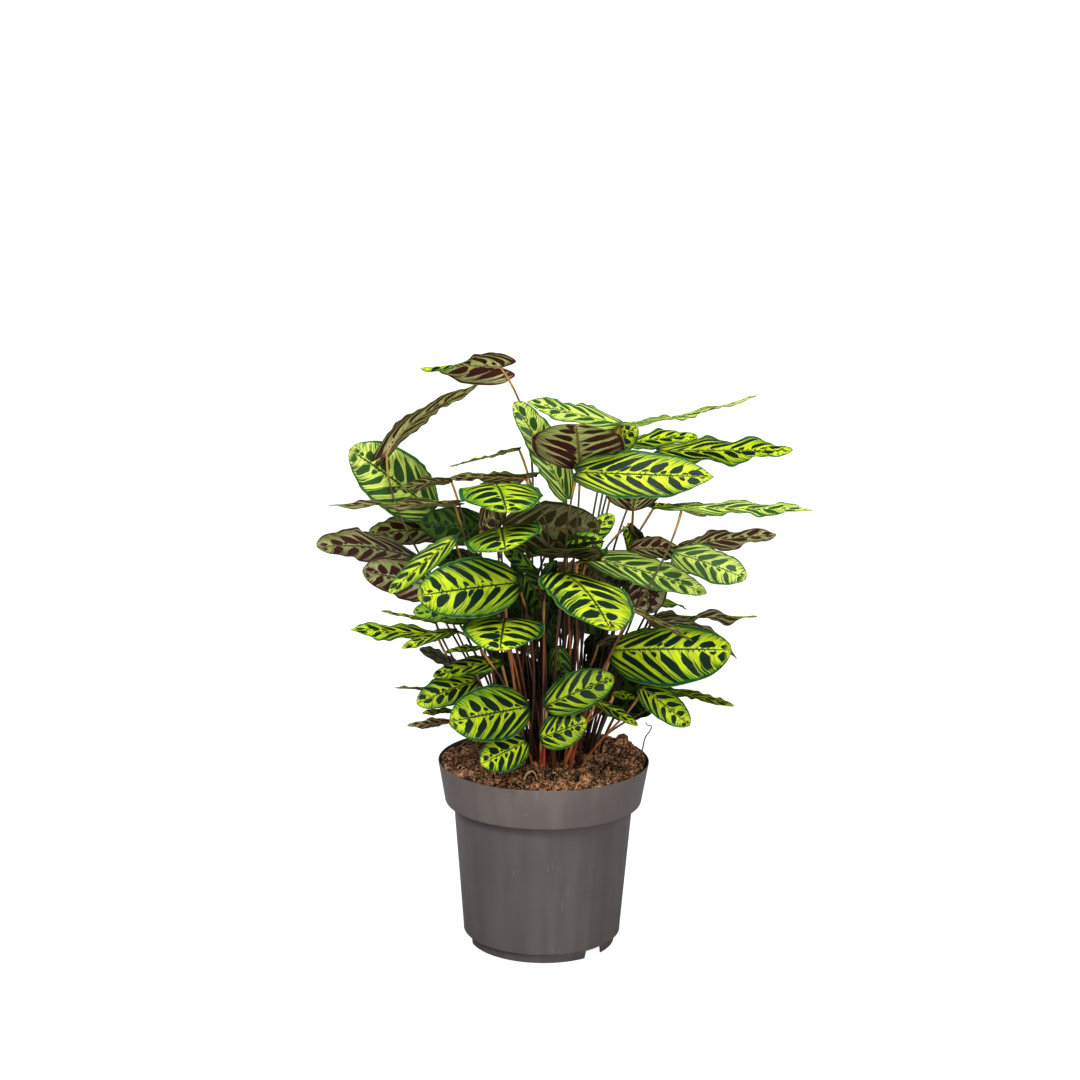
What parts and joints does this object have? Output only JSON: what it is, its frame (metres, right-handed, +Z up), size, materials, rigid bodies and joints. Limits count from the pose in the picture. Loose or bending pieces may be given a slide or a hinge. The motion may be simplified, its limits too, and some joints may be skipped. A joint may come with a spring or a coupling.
{
  "type": "potted plant",
  "caption": "Bushy house plant with patterned oval leaves on slender stalks, standing in a filled round nursery pot.",
  "frame": {"origin": "on the pot's axis, on the surface that the pot stands on", "axes": "+Z up along the pot's axis, -Y towards the side that the picture shows, +X to its right"},
  "size_m": [0.6107, 0.384, 0.7471],
  "materials": {
    "pot": "satin",
    "soil": "rough, crumbly peat",
    "leaf": "smooth leaf, slightly shiny"
  },
  "bodies": {
    "root": {"pot": "pot", "soil": "soil", "leaf_top": "leaf", "leaf_long_curl": "leaf", "leaf_bright_left": "leaf", "leaf_grey_left": "leaf", "leaf_dark_left": "leaf", "leaf_maroon_left": "leaf", "leaf_under_left": "leaf", "leaf_narrow_left": "leaf", "leaf_front_left": "leaf", "leaf_below_front_left": "leaf", "leaves_edge_left": "leaf", "leaves_small_left": "leaf", "leaf_facing_low": "leaf", "leaves_low_left": "leaf", "leaves_mid_left": "leaf", "leaves_tiny_left": "leaf", "leaf_low_front": "leaf", "leaf_lowest": "leaf", "leaf_drooping_front": "leaf", "leaf_long_middle": "leaf", "leaf_big_right": "leaf", "leaves_behind_big": "leaf", "leaf_narrow_right": "leaf", "leaf_hanging_right": "leaf", "leaves_maroon_right": "leaf", "leaf_long_right": "leaf", "leaf_under_right": "leaf", "leaf_crinkled_right": "leaf", "leaves_low_right": "leaf", "leaf_centre_low": "leaf", "leaf_centre_lowest": "leaf", "leaf_dark_centre": "leaf", "leaf_facing_middle": "leaf", "leaf_facing_upper": "leaf", "leaves_arched_upper": "leaf", "leaf_red_behind": "leaf", "leaf_tall_folded": "leaf", "leaf_rising_centre": "leaf", "leaf_upper_right": "leaf", "leaf_rising_right": "leaf", "leaves_top_right": "leaf", "leaves_upper_back": "leaf", "leaf_wavy_right": "leaf", "leaves_small_centre": "leaf", "leaf_above_drooping": "leaf", "leaves_inner_left": "leaf", "leaves_inner_right": "leaf", "leaves_tiny_right": "leaf", "leaves_back_left": "leaf", "leaves_back_right": "leaf", "leaves_back_centre": "leaf", "leaves_back_upper": "leaf", "leaves_back_low": "leaf", "leaves_back_lowest": "leaf"}
  },
  "joints": []
}
